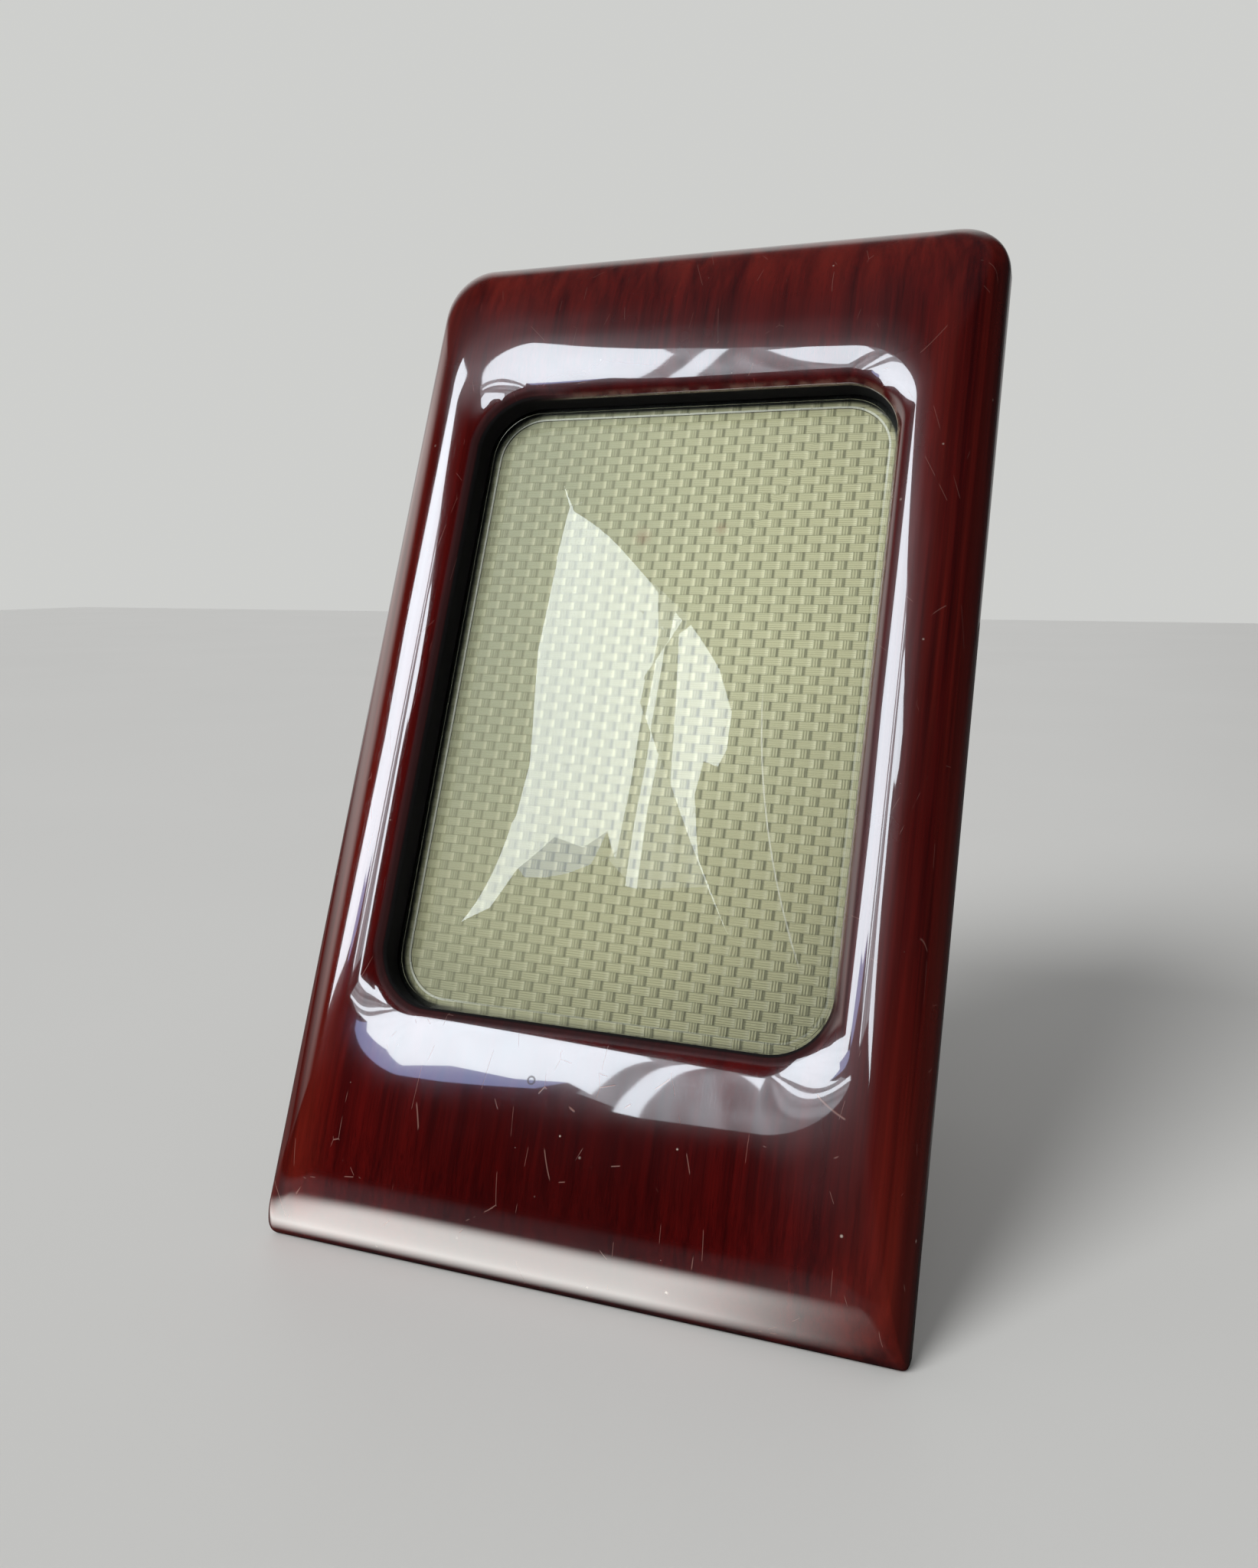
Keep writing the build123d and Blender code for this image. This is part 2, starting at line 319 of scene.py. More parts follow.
def make_section_round():
    """Carries a section round a rounded rectangle. A section point holds its part of the margins
    in X, a further inset in Y and its height in Z."""
    tree, bench, given, out = new_tree(
        "section_round", "Geometry", round_sockets, {"Mesh": "Geometry"}
    )
    section = given["Section"]
    rows = bench.put("GeometryNodeAttributeDomainSize", {"Geometry": section}, component="MESH")
    rows = Field(bench, rows.outputs["Point Count"])
    corner_points = given["Corner Steps"] + 1
    grid_rows = rows + given["Closed Section"]
    grid = bench.put(
        "GeometryNodeMeshGrid",
        {"Size X": 1.0, "Size Y": 1.0, "Vertices X": corner_points * 4 + 1, "Vertices Y": grid_rows},
    )
    index = bench.get("GeometryNodeInputIndex")
    column = ((index + 0.5) / grid_rows).floor()
    row = (index - column * grid_rows) % rows
    column = column % (corner_points * 4)
    corner = ((column + 0.5) / corner_points).floor()
    angle = (corner + (column - corner * corner_points) / given["Corner Steps"]) * (pi / 2)
    is_left = bench.math("COMPARE", corner, 1.5, 0.6)
    is_foot = corner.above(1.5)
    position = bench.put("GeometryNodeInputPosition")
    share, inset, height = bench.parts(bench.sample(section, position, row, "FLOAT_VECTOR"))
    top_corner, foot_corner, arris = (
        bench.sample(section, name, row) for name in ("top_corner", "foot_corner", "arris")
    )
    radius = bench.pick(is_foot, top_corner, foot_corner)
    half = given["Width"] * 0.5 - share * given["Side Margin"] - inset - radius
    top = given["Height"] - share * given["Top Margin"] - inset - radius
    foot = share * given["Bottom Margin"] + inset + radius
    x = half * (1.0 - is_left * 2.0) + radius * bench.math("COSINE", angle)
    y = bench.pick(is_foot, top, foot) + radius * bench.math("SINE", angle)
    mesh = bench.put(
        "GeometryNodeSetPosition", {"Geometry": grid.outputs[0], "Position": bench.vector(x, y, height)}
    )
    for name, value in (("section_row", row), ("arris", arris)):
        mesh = bench.put(
            "GeometryNodeStoreNamedAttribute",
            {"Geometry": mesh, "Name": name, "Value": value},
            data_type="FLOAT",
            domain="POINT",
        )
    mesh = bench.put("GeometryNodeMergeByDistance", {"Geometry": mesh, "Distance": 0.0005})
    bench.join(out.inputs["Mesh"], mesh)
    return tree


def finish_tree(bench, given, out, mesh):
    mesh = bench.put("GeometryNodeRealizeInstances", {"Geometry": mesh})
    mesh = bench.put("GeometryNodeSetShadeSmooth", {"Geometry": mesh})
    mesh = bench.put(
        "GeometryNodeSetMaterial", {"Geometry": mesh, "Material": given["Material"]}
    )
    bench.join(out.inputs["Piece"], mesh)


section_round = make_section_round()


def carry_round(bench, given):
    return bench.put(
        "GeometryNodeGroup", {name: given[name] for name in round_sockets}, node_tree=section_round
    )


def make_moulded_board():
    sockets = round_sockets | {"Material": "Material"}
    tree, bench, given, out = new_tree("moulded_board", "Geometry", sockets, {"Piece": "Geometry"})
    finish_tree(bench, given, out, carry_round(bench, given))
    return tree


def make_domed_sheet():
    """A section carried round, then bowed: full height in the middle and none at the sides."""
    tree, bench, given, out = new_tree(
        "domed_sheet",
        "Geometry",
        round_sockets
        | {"Rise": 5.0, "Across Power": 2.0, "Along Power": 4.0, "Material": "Material"},
        {"Piece": "Geometry"},
    )
    mesh = carry_round(bench, given)
    row = bench.put("GeometryNodeInputNamedAttribute", {"Name": "section_row"}, data_type="FLOAT")
    x, y, z = bench.parts(bench.put("GeometryNodeInputPosition"))
    reach = bench.sample(given["Section"], "bow_inset", row)
    across = x.size() / (given["Width"] * 0.5 - reach)
    along = (y - given["Height"] * 0.5).size() / (given["Height"] * 0.5 - reach)
    bow = (1.0 - across ** given["Across Power"]) * (1.0 - along ** given["Along Power"])
    bow = bow.most(0.0)
    lift = bow * given["Rise"] * bench.sample(given["Section"], "bow", row)
    finish_tree(bench, given, out, offset(bench, mesh, z=lift))
    return tree


def make_screw_set():
    """Slotted screws, each turned its own way, on a grid of points."""
    tree, bench, given, out = new_tree(
        "screw_set",
        "Geometry",
        {
            "Section": "Geometry",
            "Head Diameter": 4.8,
            "Slot Level": 1.0,
            "Slot Width": 0.6,
            "Slot Depth": 0.6,
            "Spacing Across": 10.0,
            "Spacing Along": 10.0,
            "Columns": 2,
            "Rows": 2,
            "Seed": 1,
            "Material": "Material",
        },
        {"Piece": "Geometry"},
    )
    diameter = given["Head Diameter"]
    head = {
        "Section": given["Section"],
        "Width": diameter,
        "Height": diameter,
        "Corner Steps": 8,
        "Closed Section": 0,
    }
    head = bench.put("GeometryNodeGroup", head, node_tree=section_round)
    to_middle = bench.vector(0.0, diameter * -0.5, 0.0)
    head = bench.put("GeometryNodeTransform", {"Geometry": head, "Translation": to_middle})
    slot = bench.put(
        "GeometryNodeMeshCube",
        {"Size": bench.vector(diameter * 2.0, given["Slot Width"], given["Slot Depth"] * 2.0)},
    )
    slot = bench.put(
        "GeometryNodeTransform",
        {"Geometry": slot.outputs[0], "Translation": bench.vector(0.0, 0.0, given["Slot Level"])},
    )
    screw = bench.put(
        "GeometryNodeMeshBoolean", {"Mesh 1": head, "Mesh 2": slot}, operation="DIFFERENCE"
    )
    points = bench.put(
        "GeometryNodeMeshGrid",
        {
            "Size X": given["Spacing Across"],
            "Size Y": given["Spacing Along"],
            "Vertices X": given["Columns"],
            "Vertices Y": given["Rows"],
        },
    )
    turn = bench.put("FunctionNodeRandomValue", {"Seed": given["Seed"]}, data_type="FLOAT")
    turn = Field(bench, [s for s in turn.outputs if s.enabled][0]) * pi
    screws = bench.put(
        "GeometryNodeInstanceOnPoints",
        {"Points": points, "Instance": screw, "Rotation": bench.vector(0.0, 0.0, turn)},
    )
    finish_tree(bench, given, out, screws)
    return tree


def make_woven_sheet():
    """A thin sheet with raised floats in offset rows, as a basket weave is embossed."""
    tree, bench, given, out = new_tree(
        "woven_sheet",
        "Geometry",
        {
            "Sheet": "Geometry",
            "Field Width": 84.0,
            "Field Height": 122.0,
            "Pitch Across": 5.3,
            "Row Height": 1.7,
            "Float Length": 3.6,
            "Relief": 0.24,
            "Material": "Material",
        },
        {"Piece": "Geometry"},
    )
    pitch, row_height = given["Pitch Across"], given["Row Height"]
    columns = (given["Field Width"] / pitch).floor()
    rows = (given["Field Height"] / row_height).floor()
    points = bench.put(
        "GeometryNodeMeshGrid",
        {
            "Size X": (columns - 1) * pitch,
            "Size Y": (rows - 1) * row_height,
            "Vertices X": columns,
            "Vertices Y": rows,
        },
    )
    index = bench.get("GeometryNodeInputIndex")
    odd = (index % rows) % 2
    shift = (odd - 0.5) * pitch * 0.5
    points = offset(bench, points, x=shift)
    block = bench.put(
        "GeometryNodeMeshCube",
        {
            "Size": bench.vector(given["Float Length"], row_height * 0.94, given["Relief"]),
            "Vertices X": 5,
            "Vertices Y": 4,
            "Vertices Z": 2,
        },
    )
    x, y, z = bench.parts(bench.put("GeometryNodeInputPosition"))
    across = (x * 2.0 / given["Float Length"]).size()
    along = (y * 2.0 / (row_height * 0.94)).size()
    crown = (1.0 - across**4.0) * (1.0 - along**2.5) * 0.8 + 0.2
    lift = z.above(0.0) * (crown - 1.0) * given["Relief"]
    block = offset(bench, block, z=lift)
    floats = bench.put("GeometryNodeInstanceOnPoints", {"Points": points, "Instance": block})
    whole = bench.put("GeometryNodeJoinGeometry")
    for part in (given["Sheet"], floats):
        bench.join(whole.inputs[0], part)
    finish_tree(bench, given, out, whole)
    return tree


moulded_board = make_moulded_board()
domed_sheet = make_domed_sheet()
screw_set = make_screw_set()
woven_sheet = make_woven_sheet()


def section_mesh(name, rows):
    """A line of points for section_round. A row is (share, inset, height, values by name)."""
    mesh = bpy.data.meshes.new(name)
    mesh.from_pydata([row[:3] for row in rows], [(i, i + 1) for i in range(len(rows) - 1)], [])
    for attribute in ("top_corner", "foot_corner", "arris", "bow", "bow_inset"):
        layer = mesh.attributes.new(attribute, "FLOAT", "POINT")
        for point, row in zip(layer.data, rows):
            point.value = row[3].get(attribute, 0.0)
    return mesh


def grow(name, start, tree, material, **values):
    """The plain mesh that a tree makes from a starting mesh, as an object."""
    piece = new_object(name, start)
    modifier = piece.modifiers.new("shape", "NODES")
    modifier.node_group = tree
    for item in tree.interface.items_tree:
        if item.in_out == "INPUT" and item.socket_type != "NodeSocketGeometry":
            key = item.name.lower().replace(" ", "_")
            value = material if key == "material" else values.get(key, item.default_value)
            modifier[item.identifier] = value
    graph = bpy.context.evaluated_depsgraph_get()
    mesh = bpy.data.meshes.new_from_object(piece.evaluated_get(graph))
    piece.modifiers.clear()
    piece.data = mesh
    mesh.name = name
    # One slot, so that faces made later by a bevel or a cut take the same material
    mesh.materials.clear()
    mesh.materials.append(material)
    mesh.polygons.foreach_set("material_index", [0] * len(mesh.polygons))
    return piece


def set_in_place(piece, place, sharp_angle=radians(38), bevel=0.0, level_foot=False):
    """Moves a finished mesh to its place, closes it and turns its faces outwards."""
    mesh = piece.data
    mesh.transform(place)
    work = bmesh.new()
    work.from_mesh(mesh)
    bmesh.ops.remove_doubles(work, verts=work.verts, dist=1e-7)
    bmesh.ops.dissolve_degenerate(work, edges=work.edges, dist=1e-8)
    if level_foot:
        geometry = work.verts[:] + work.edges[:] + work.faces[:]
        cut = bmesh.ops.bisect_plane(
            work, geom=geometry, dist=1e-7, plane_co=(0, 0, 0), plane_no=(0, 0, -1), clear_outer=True
        )
        rim = [item for item in cut["geom_cut"] if isinstance(item, bmesh.types.BMEdge)]
        bmesh.ops.edgeloop_fill(work, edges=rim)
    if bevel:
        layer = work.verts.layers.float.get("arris")
        edges = [edge for edge in work.edges if all(vert[layer] > 0.5 for vert in edge.verts)]
        bmesh.ops.bevel(
            work, geom=edges, offset=bevel, segments=3, profile=0.5, affect="EDGES", clamp_overlap=True
        )
    bmesh.ops.recalc_face_normals(work, faces=work.faces)
    work.to_mesh(mesh)
    work.free()
    mesh.shade_smooth()
    mesh.set_sharp_from_angle(angle=sharp_angle)


def curve_through(table, steps):
    """Rows along a smooth curve through a table's rows, evenly spread along it."""
    points = [Vector(row[:2]) for row in table]
    knots = [0.0]
    for before, after in zip(points, points[1:]):
        knots.append(knots[-1] + sqrt((after - before).length))
    rows = []
    for step in range(steps + 1):
        place = knots[-1] * step / steps
        low = max(i for i in range(len(table) - 1) if knots[i] <= place + 1e-9)
        span = knots[low + 1] - knots[low]
        t = (place - knots[low]) / span
        row = []
        for column in range(len(table[0])):
            values = [line[column] for line in table]
            slopes = []
            for at in (low, low + 1):
                before, after = max(at - 1, 0), min(at + 1, len(table) - 1)
                slopes.append((values[after] - values[before]) / (knots[after] - knots[before]) * span)
            a, b = values[low], values[low + 1]
            row.append(
                a * (2 * t**3 - 3 * t**2 + 1)
                + b * (3 * t**2 - 2 * t**3)
                + slopes[0] * (t**3 - 2 * t**2 + t)
                + slopes[1] * (t**3 - t**2)
            )
        rows.append(row)
    return rows


def corners(top, foot=None, **more):
    return {"top_corner": top, "foot_corner": top if foot is None else foot, **more}


# Finishes


def object_place(bench):
    return Field(bench, bench.put("ShaderNodeTexCoord").outputs["Object"])


def make_board_place():
    """Across, along and out of the leaning board, in millimetres."""
    tree, bench, given, out = new_tree("board_place", "Shader", {}, {"Place": "Vector"})
    centred = bench.put(
        "ShaderNodeMapping",
        {"Vector": object_place(bench), "Location": (0, -MM * foot_y, -MM * foot_z)},
    )
    turned = bench.put(
        "ShaderNodeMapping",
        {"Vector": centred, "Rotation": (lean - pi / 2, 0, 0), "Scale": (1000, 1000, 1000)},
    )
    bench.join(out.inputs["Place"], turned)
    return tree


def noise(bench, vector, scale, detail=3.0, roughness=0.5, distortion=0.0):
    return bench.get(
        "ShaderNodeTexNoise",
        {
            "Vector": vector,
            "Scale": scale,
            "Detail": detail,
            "Roughness": roughness,
            "Distortion": distortion,
        },
    )


def blend(bench, factor, first, second):
    """first where factor is 0 and second where it is 1."""
    node = bench.put("ShaderNodeMix", data_type="RGBA")
    bench.feed((node.inputs[0], node.inputs[6], node.inputs[7]), factor, first, second)
    return Field(bench, node.outputs[2])


def make_wood_grain():
    """Streaks and open pores that run along the second direction of Place."""
    tree, bench, given, out = new_tree(
        "wood_grain",
        "Shader",
        {
            "Place": "Vector",
            "Dark": (0.02, 0.002, 0.002, 1),
            "Light": (0.10, 0.01, 0.006, 1),
            "Streak Width": 1.0,
            "Streak Length": 30.0,
            "Contrast": 1.0,
        },
        {"Colour": "Color", "Pores": "Float", "Figure": "Float"},
    )
    x, y, z = bench.parts(given["Place"])
    width, length = given["Streak Width"], given["Streak Length"]
    streak_place = bench.vector(x / width, y / length, z / width)
    figure = noise(bench, streak_place, 0.16, 3.0, 0.55, 0.6)
    streaks = noise(bench, streak_place, 1.0, 4.0, 0.6, 0.25)
    hairs = noise(bench, bench.vector(x / width * 4.0, y / length * 2.5, z / width * 4.0), 1.0, 2.0)
    tone = (figure - 0.5) * 1.3 + (streaks - 0.5) * 1.2 + (hairs - 0.5) * 0.5
    tone = (tone * given["Contrast"] + 0.5).rise(0.0, 1.0)
    pores = noise(bench, bench.vector(x / width * 5.0, y / length * 5.0, z / width * 5.0), 1.0, 1.0)
    pores = pores.rise(0.60, 0.70) * figure.rise(0.35, 0.6)
    colour = blend(bench, tone, given["Dark"], given["Light"])
    colour = colour.coat(pores * 0.55, given["Dark"])
    bench.dress(out, Colour=colour, Pores=pores, Figure=figure)
    return tree


def make_handling_marks():
    """Hairline scratches and specks of dust."""
    tree, bench, given, out = new_tree(
        "handling_marks",
        "Shader",
        {
            "Place": "Vector",
            "Scratch Spacing": 14.0,
            "Scratch Width": 0.05,
            "Speck Spacing": 4.0,
            "Speck Size": 0.12,
        },
        {"Scratches": "Float", "Specks": "Float"},
    )
    scratches = None
    for turn, stretch in ((0.5, 0.35), (-0.9, 0.5), (2.1, 0.3)):
        turned = bench.put(
            "ShaderNodeMapping",
            {"Vector": given["Place"], "Rotation": (0, 0, turn), "Scale": (1.0, stretch, 1.0)},
        )
        cells = bench.put(
            "ShaderNodeTexVoronoi",
            {"Vector": turned, "Scale": bench.math("DIVIDE", 1.0, given["Scratch Spacing"])},
            feature="DISTANCE_TO_EDGE",
        )
        edge = Field(bench, cells.outputs["Distance"]) * given["Scratch Spacing"]
        broken = noise(bench, turned, 0.33, 1.0).rise(0.62, 0.66)
        line = edge.fall(0.0, given["Scratch Width"]) * broken
        scratches = line if scratches is None else scratches.most(line)
    cells = bench.put(
        "ShaderNodeTexVoronoi",
        {"Vector": given["Place"], "Scale": bench.math("DIVIDE", 1.0, given["Speck Spacing"])},
    )
    red, green, blue = bench.parts(cells.outputs["Color"])
    reach = Field(bench, cells.outputs["Distance"]) * given["Speck Spacing"]
    specks = reach.fall(0.0, given["Speck Size"] * (red**3.0 * 2.0 + 0.3)) * green.above(0.45)
    bench.dress(out, Scratches=scratches, Specks=specks)
    return tree


def make_outline_distance():
    """Distance outwards from a round-cornered opening, along the board's face."""
    tree, bench, given, out = new_tree(
        "outline_distance",
        "Shader",
        {
            "Place": "Vector",
            "Half Width": 40.0,
            "Half Height": 60.0,
            "Middle": 100.0,
            "Corner": 10.0,
        },
        {"Distance": "Float"},
    )
    x, y, z = bench.parts(given["Place"])
    across = x.size() - given["Half Width"] + given["Corner"]
    along = (y - given["Middle"]).size() - given["Half Height"] + given["Corner"]
    outer_across = across.most(0.0)
    outer_along = along.most(0.0)
    reach = bench.math("SQRT", outer_across * outer_across + outer_along * outer_along)
    inner = bench.math("MINIMUM", across.most(along), 0.0)
    bench.join(out.inputs["Distance"], reach + inner - given["Corner"])
    return tree


board_place = make_board_place()
outline_distance = make_outline_distance()
wood_grain = make_wood_grain()
handling_marks = make_handling_marks()


def use(bench, tree, **plugs):
    """A group's outputs by name."""
    node = bench.put("ShaderNodeGroup", node_tree=tree)
    bench.dress(node, **plugs)
    return bench.fields(node)


def new_material(name):
    material = bpy.data.materials.new(name)
    material.use_nodes = True
    material.node_tree.nodes.clear()
    bench = Bench(material.node_tree)
    shader = bench.put("ShaderNodeBsdfPrincipled")
    surface = bench.put("ShaderNodeOutputMaterial", {"Surface": shader})
    return material, bench, shader, surface


def bump(bench, height, distance):
    return bench.get("ShaderNodeBump", {"Height": height, "Distance": distance})


def distance_from(bench, x, y, place):
    """Distance along the board's face from a place on it."""
    node = bench.put("ShaderNodeVectorMath", operation="DISTANCE")
    bench.feed(node.inputs, bench.vector(x, y, 0.0), (*place, 0.0))
    return Field(bench, node.outputs["Value"])


def window_distance(bench, place, inset=0.0):
    """Distance outwards from the window's edge, or from a line inset from it."""
    given = use(
        bench,
        outline_distance,
        Place=place,
        Half_Width=window_width / 2 - inset,
        Half_Height=window_height / 2 - inset,
        Middle=window_middle,
        Corner=window_corner_radius - inset,
    )
    return given["Distance"]


def make_lacquered_mahogany():
    material, bench, shader, surface = new_material("lacquered_mahogany")
    place = use(bench, board_place)["Place"]
    grain = use(
        bench,
        wood_grain,
        Place=place,
        Dark=(0.020, 0.0003, 0.0006, 1),
        Light=(0.086, 0.0022, 0.0018, 1),
        Streak_Width=0.9,
        Streak_Length=40.0,
        Contrast=0.8,
    )
    marks = use(
        bench, handling_marks, Place=place, Scratch_Spacing=15.0, Speck_Spacing=3.4, Speck_Size=0.2
    )
    x, y, out = bench.parts(place)
    figure = grain["Figure"]
    # The outer slopes and the top are a more orange red
    side = x.size().rise(42.0, 57.5)
    top = y.rise(176.0, 198.0) * 0.8
    warm = side.most(top) * figure.rise(0.25, 0.75)
    colour = grain["Colour"].coat(warm * 0.5, (0.23, 0.022, 0.010, 1))
    # Painted shade: the middle of the foot rail is darkened
    painted_middle_shade = x.size().fall(8.0, 46.0) * y.fall(24.0, 50.0)
    colour = colour.coat(painted_middle_shade * 0.4, (0.010, 0.0001, 0.0002, 1))
    raw = out.fall(0.05, 0.5)
    # The window's wall is stained near black and dull. At the left and the foot painted shade darkens
    # it further. Its lip carries a painted highlight.
    edge = window_distance(bench, place)
    off_edge = edge.size()
    wall = off_edge.fall(0.25, 0.4) * out.fall(lip_height - 0.9, lip_height - 0.3)
    shaded = (-x).rise(20.0, 36.0).most(y.fall(46.0, 60.0))
    # Painted shade blackens the lip's edge and darkens the slope above it at the left and the foot
    wall = wall.most(shaded * off_edge.fall(0.35, 0.65))
    dim = shaded * off_edge.fall(1.0, 2.2) * (1.0 - raw)
    colour = colour.coat(dim * 0.7, (0.012, 0.001, 0.001, 1))
    # Painted highlight along the lip, broken at random, left out where there is painted shade
    painted_lip_highlight = edge.fall(0.1, 1.1) * (1.0 - dim) * (1.0 - wall)
    painted_lip_highlight = painted_lip_highlight * noise(bench, place, 0.35, 3.0).rise(0.35, 0.65)
    colour = colour.coat(painted_lip_highlight * 0.35, (0.26, 0.17, 0.12, 1))
    # The back is stained without gloss
    colour = colour.coat(raw * 0.6, (0.075, 0.028, 0.014, 1))
    # The foot rail is handled most
    handled = 1.0 - y.rise(30.0, 60.0, 0.0, 0.55)
    scratches = marks["Scratches"] * handled
    specks = marks["Specks"] * handled
    colour = colour.coat(scratches * 0.42, (0.42, 0.25, 0.21, 1))
    colour = colour.coat(specks * 0.8, (0.66, 0.58, 0.50, 1))
    # One small dent with a chipped rim
    dent = distance_from(bench, x, y, dent_place)
    chipped = (dent - dent_radius).size().fall(0.05, 0.28) * (1.0 - raw)
    colour = colour.coat(chipped * 0.9, (0.03, 0.012, 0.012, 1))
    colour = colour.coat(wall, (0.004, 0.003, 0.003, 1))
    haze = noise(bench, place, 0.05, 3.0)
    dull = x.rise(25.0, 48.0).most(y.rise(150.0, 175.0))
    roughness = haze.rise(0.3, 0.75, 0.11, 0.17) + dull * 0.16 + raw * 0.3 + wall * 0.8 + dim * 0.7
    glossy = (1.0 - raw) * (1.0 - wall) * (1.0 - dim)
    glossy = glossy * (1.0 - chipped * 0.8) * (1.0 - scratches * 0.2)
    pores = grain["Pores"]
    ripple = noise(bench, bench.vector(x, y * 0.25, out), 0.5, 2.0) * 0.4
    height = ripple - pores * 0.15 - scratches * 0.6
    bench.dress(
        shader,
        Base_Color=colour,
        Roughness=roughness,
        IOR=1.42,
        Coat_Weight=glossy,
        Coat_Roughness=0.03,
        Coat_IOR=1.8,
        Normal=bump(bench, height, 0.00002),
    )
    return material


def make_clear_glass():
    material, bench, shader, surface = new_material("clear_glass")
    place = use(bench, board_place)["Place"]
    marks = use(bench, handling_marks, Place=place, Scratch_Spacing=26.0)
    smear = noise(bench, place, 0.05, 4.0).rise(0.5, 0.8, 0.0, 0.03)
    roughness = smear + marks["Scratches"] * 0.25
    height = noise(bench, place, 0.04, 1.0)
    bench.dress(
        shader,
        Base_Color=(0.985, 0.995, 0.985, 1),
        Roughness=roughness,
        IOR=1.5,
        Transmission_Weight=1.0,
        Normal=bump(bench, height, 0.00005),
    )
    # Light passes straight through to the lining
    clear = bench.put("ShaderNodeBsdfTransparent", {"Color": (0.93, 0.94, 0.93, 1)})
    path = bench.put("ShaderNodeLightPath")
    both = bench.put("ShaderNodeMixShader")
    bench.feed(both.inputs, path.outputs["Is Shadow Ray"], shader, clear)
    bench.join(surface.inputs["Surface"], both)
    return material


def make_embossed_lining():
    material, bench, shader, surface = new_material("embossed_lining")
    place = use(bench, board_place)["Place"]
    x, y, out = bench.parts(place)
    # The same rows and floats as the raised weave
    row = ((y - window_middle) / weave_row + 0.5).floor()
    shift = (row % 2 - 0.5) * weave_pitch * 0.5
    within = (x - shift) / weave_pitch + 0.5
    within = (within - within.floor() - 0.5) * weave_pitch
    along = (y - window_middle) / weave_row + 0.5
    along = (along - along.floor() - 0.5).size() * weave_row
    reach = within.size()
    between = reach.rise(weave_float / 2 - 0.15, weave_float / 2 + 0.15)
    float_side = within / (weave_float / 2)
    # Painted light and shade of the weave's relief, weaker towards the left
    plain = x.rise(-40.0, 10.0, 0.5, 1.0)
    painted_float_highlight = (1.0 - between) * float_side.rise(0.45, 1.0) * plain
    painted_float_shade = (within + weave_float / 2 + 0.1).size().fall(0.05, 0.50)
    painted_row_shade = along.rise(weave_row * 0.36, weave_row * 0.5)
    ribs = bench.math("SINE", x * (2 * pi / rib_pitch)) * 0.5 + 0.5
    threads = bench.math("SINE", y * (2 * pi / thread_pitch)) * 0.5 + 0.5
    fibre = noise(bench, bench.vector(x, y, 0.0), 2.6, 4.0, 0.65)
    cloud = noise(bench, place, 0.03, 3.0)
    # Painted light: brighter towards the right and the foot, with tone that differs at random
    painted_light_and_tone = x.rise(-38.0, 38.0) * 0.7 + y.fall(50.0, 100.0) * 0.45 + (cloud - 0.5) * 0.4
    colour = blend(bench, painted_light_and_tone, (0.40, 0.40, 0.265, 1), (0.66, 0.625, 0.375, 1))
    # Painted shade in the grooves between the ribs
    colour = colour.coat(between * (1.0 - ribs) * 0.4, (0.20, 0.20, 0.115, 1))
    # Painted highlights on the floats' right ends, painted shade at their left ends and between the
    # rows
    colour = colour.coat(painted_float_highlight * 0.9, (0.80, 0.765, 0.53, 1))
    colour = colour.coat(painted_row_shade * 0.38, (0.20, 0.20, 0.11, 1))
    colour = colour.coat(painted_float_shade * plain * 0.72, (0.13, 0.13, 0.07, 1))
    colour = colour.coat((fibre - 0.5).size() * 0.8, (0.26, 0.25, 0.15, 1))
    # Two faint reddish stains
    for *stain_place, size in stains:
        spot = distance_from(bench, x, y, stain_place) + (fibre - 0.5) * 4.0
        colour = colour.coat(spot.fall(0.0, size) * 0.4, (0.30, 0.15, 0.09, 1))
    # One long curved crease
    crease = (distance_from(bench, x, y, crease_centre) - crease_radius).size().fall(0.05, 0.2)
    crease = crease * x.above(10.0) * y.rise(57.4, 62.4) * y.fall(99.4, 109.4)
    colour = colour.coat(crease * 0.8, (0.86, 0.84, 0.72, 1))
    # A painted highlight just inside the dome's foot, and painted shade outside it, both strongest at
    # the left and the top
    foot = window_distance(bench, place, dome_inset)
    in_shade = (-x).rise(20.0, 36.0).most(y.rise(140.0, 155.0))
    painted_foot_highlight = (foot + 1.1).size().fall(0.10, 0.28) * (in_shade * 0.65 + 0.35)
    painted_foot_highlight = painted_foot_highlight * fibre.rise(0.30, 0.45) * 0.85
    colour = colour.coat(painted_foot_highlight, (0.92, 0.92, 0.82, 1))
    painted_rim_shade = foot.rise(-0.6, 0.3) * (in_shade * 0.7 + 0.3)
    colour = colour.coat(painted_rim_shade, (0.012, 0.012, 0.009, 1))
    height = between * ribs * 0.7 + (1.0 - between) * threads * 0.35 + fibre * 0.5
    bench.dress(
        shader,
        Base_Color=colour,
        Roughness=fibre.rise(0.3, 0.7, 0.55, 0.8),
        Normal=bump(bench, height, 0.00006),
    )
    return material


def make_brass(name, seed):
    material, bench, shader, surface = new_material(name)
    place = use(bench, board_place)["Place"]
    marks = use(bench, handling_marks, Place=place, Scratch_Spacing=4.0)
    tarnish = noise(bench, place, 0.55 + seed * 0.1, 5.0, 0.65).rise(0.38, 0.72)
    spots = noise(bench, place, 2.4, 3.0).rise(0.62, 0.72)
    colour = blend(bench, tarnish, (0.78, 0.56, 0.25, 1), (0.36, 0.22, 0.09, 1))
    colour = colour.coat(spots * 0.7, (0.10, 0.055, 0.03, 1))
    colour = colour.coat(marks["Scratches"] * 0.6, (0.90, 0.72, 0.40, 1))
    height = noise(bench, place, 3.0, 3.0) - marks["Scratches"] * 0.7
    bench.dress(
        shader,
        Base_Color=colour,
        Metallic=1.0 - spots * 0.35,
        Roughness=tarnish.rise(0.0, 1.0, 0.24, 0.46),
        Normal=bump(bench, height, 0.00003),
    )
    return material


